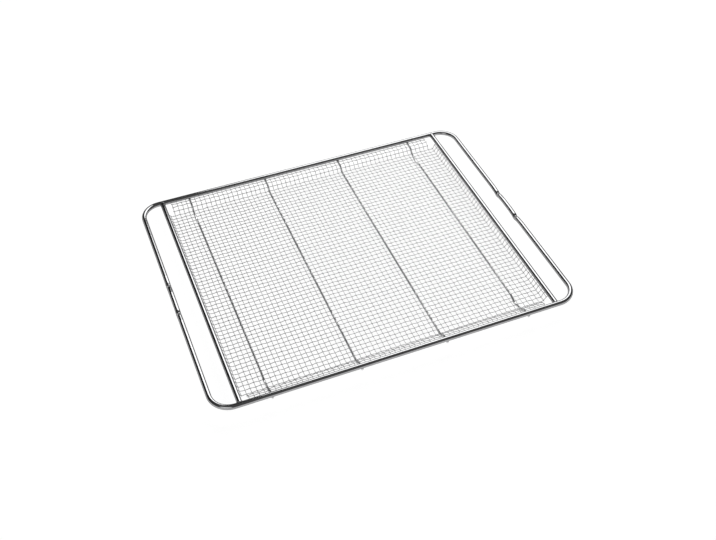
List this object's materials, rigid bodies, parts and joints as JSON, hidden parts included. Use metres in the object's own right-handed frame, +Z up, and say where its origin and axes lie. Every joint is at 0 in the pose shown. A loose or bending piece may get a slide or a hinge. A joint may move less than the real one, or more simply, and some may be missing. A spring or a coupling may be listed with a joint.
{
  "type": "air fry oven tray",
  "caption": "Shallow woven wire mesh tray welded into a bent rod frame with crossbars, hand gaps, support wires and bent feet; slides into a built-in oven to air fry food.",
  "frame": {"origin": "middle of the tray in plan, on the level that its feet stand on", "axes": "+X along the long side to the right, +Y from the front to the back, +Z up"},
  "size_m": [0.4644, 0.3684, 0.0214],
  "materials": {
    "frame_chrome": "polished",
    "support_chrome": "polished",
    "mesh_steel": "drawn wire, semi-bright"
  },
  "bodies": {
    "root": {"frame_rod": "frame_chrome", "left_crossbar": "frame_chrome", "right_crossbar": "frame_chrome", "mesh_tray": "mesh_steel", "outer_left_support": "support_chrome", "inner_left_support": "support_chrome", "inner_right_support": "support_chrome", "outer_right_support": "support_chrome"}
  },
  "joints": []
}
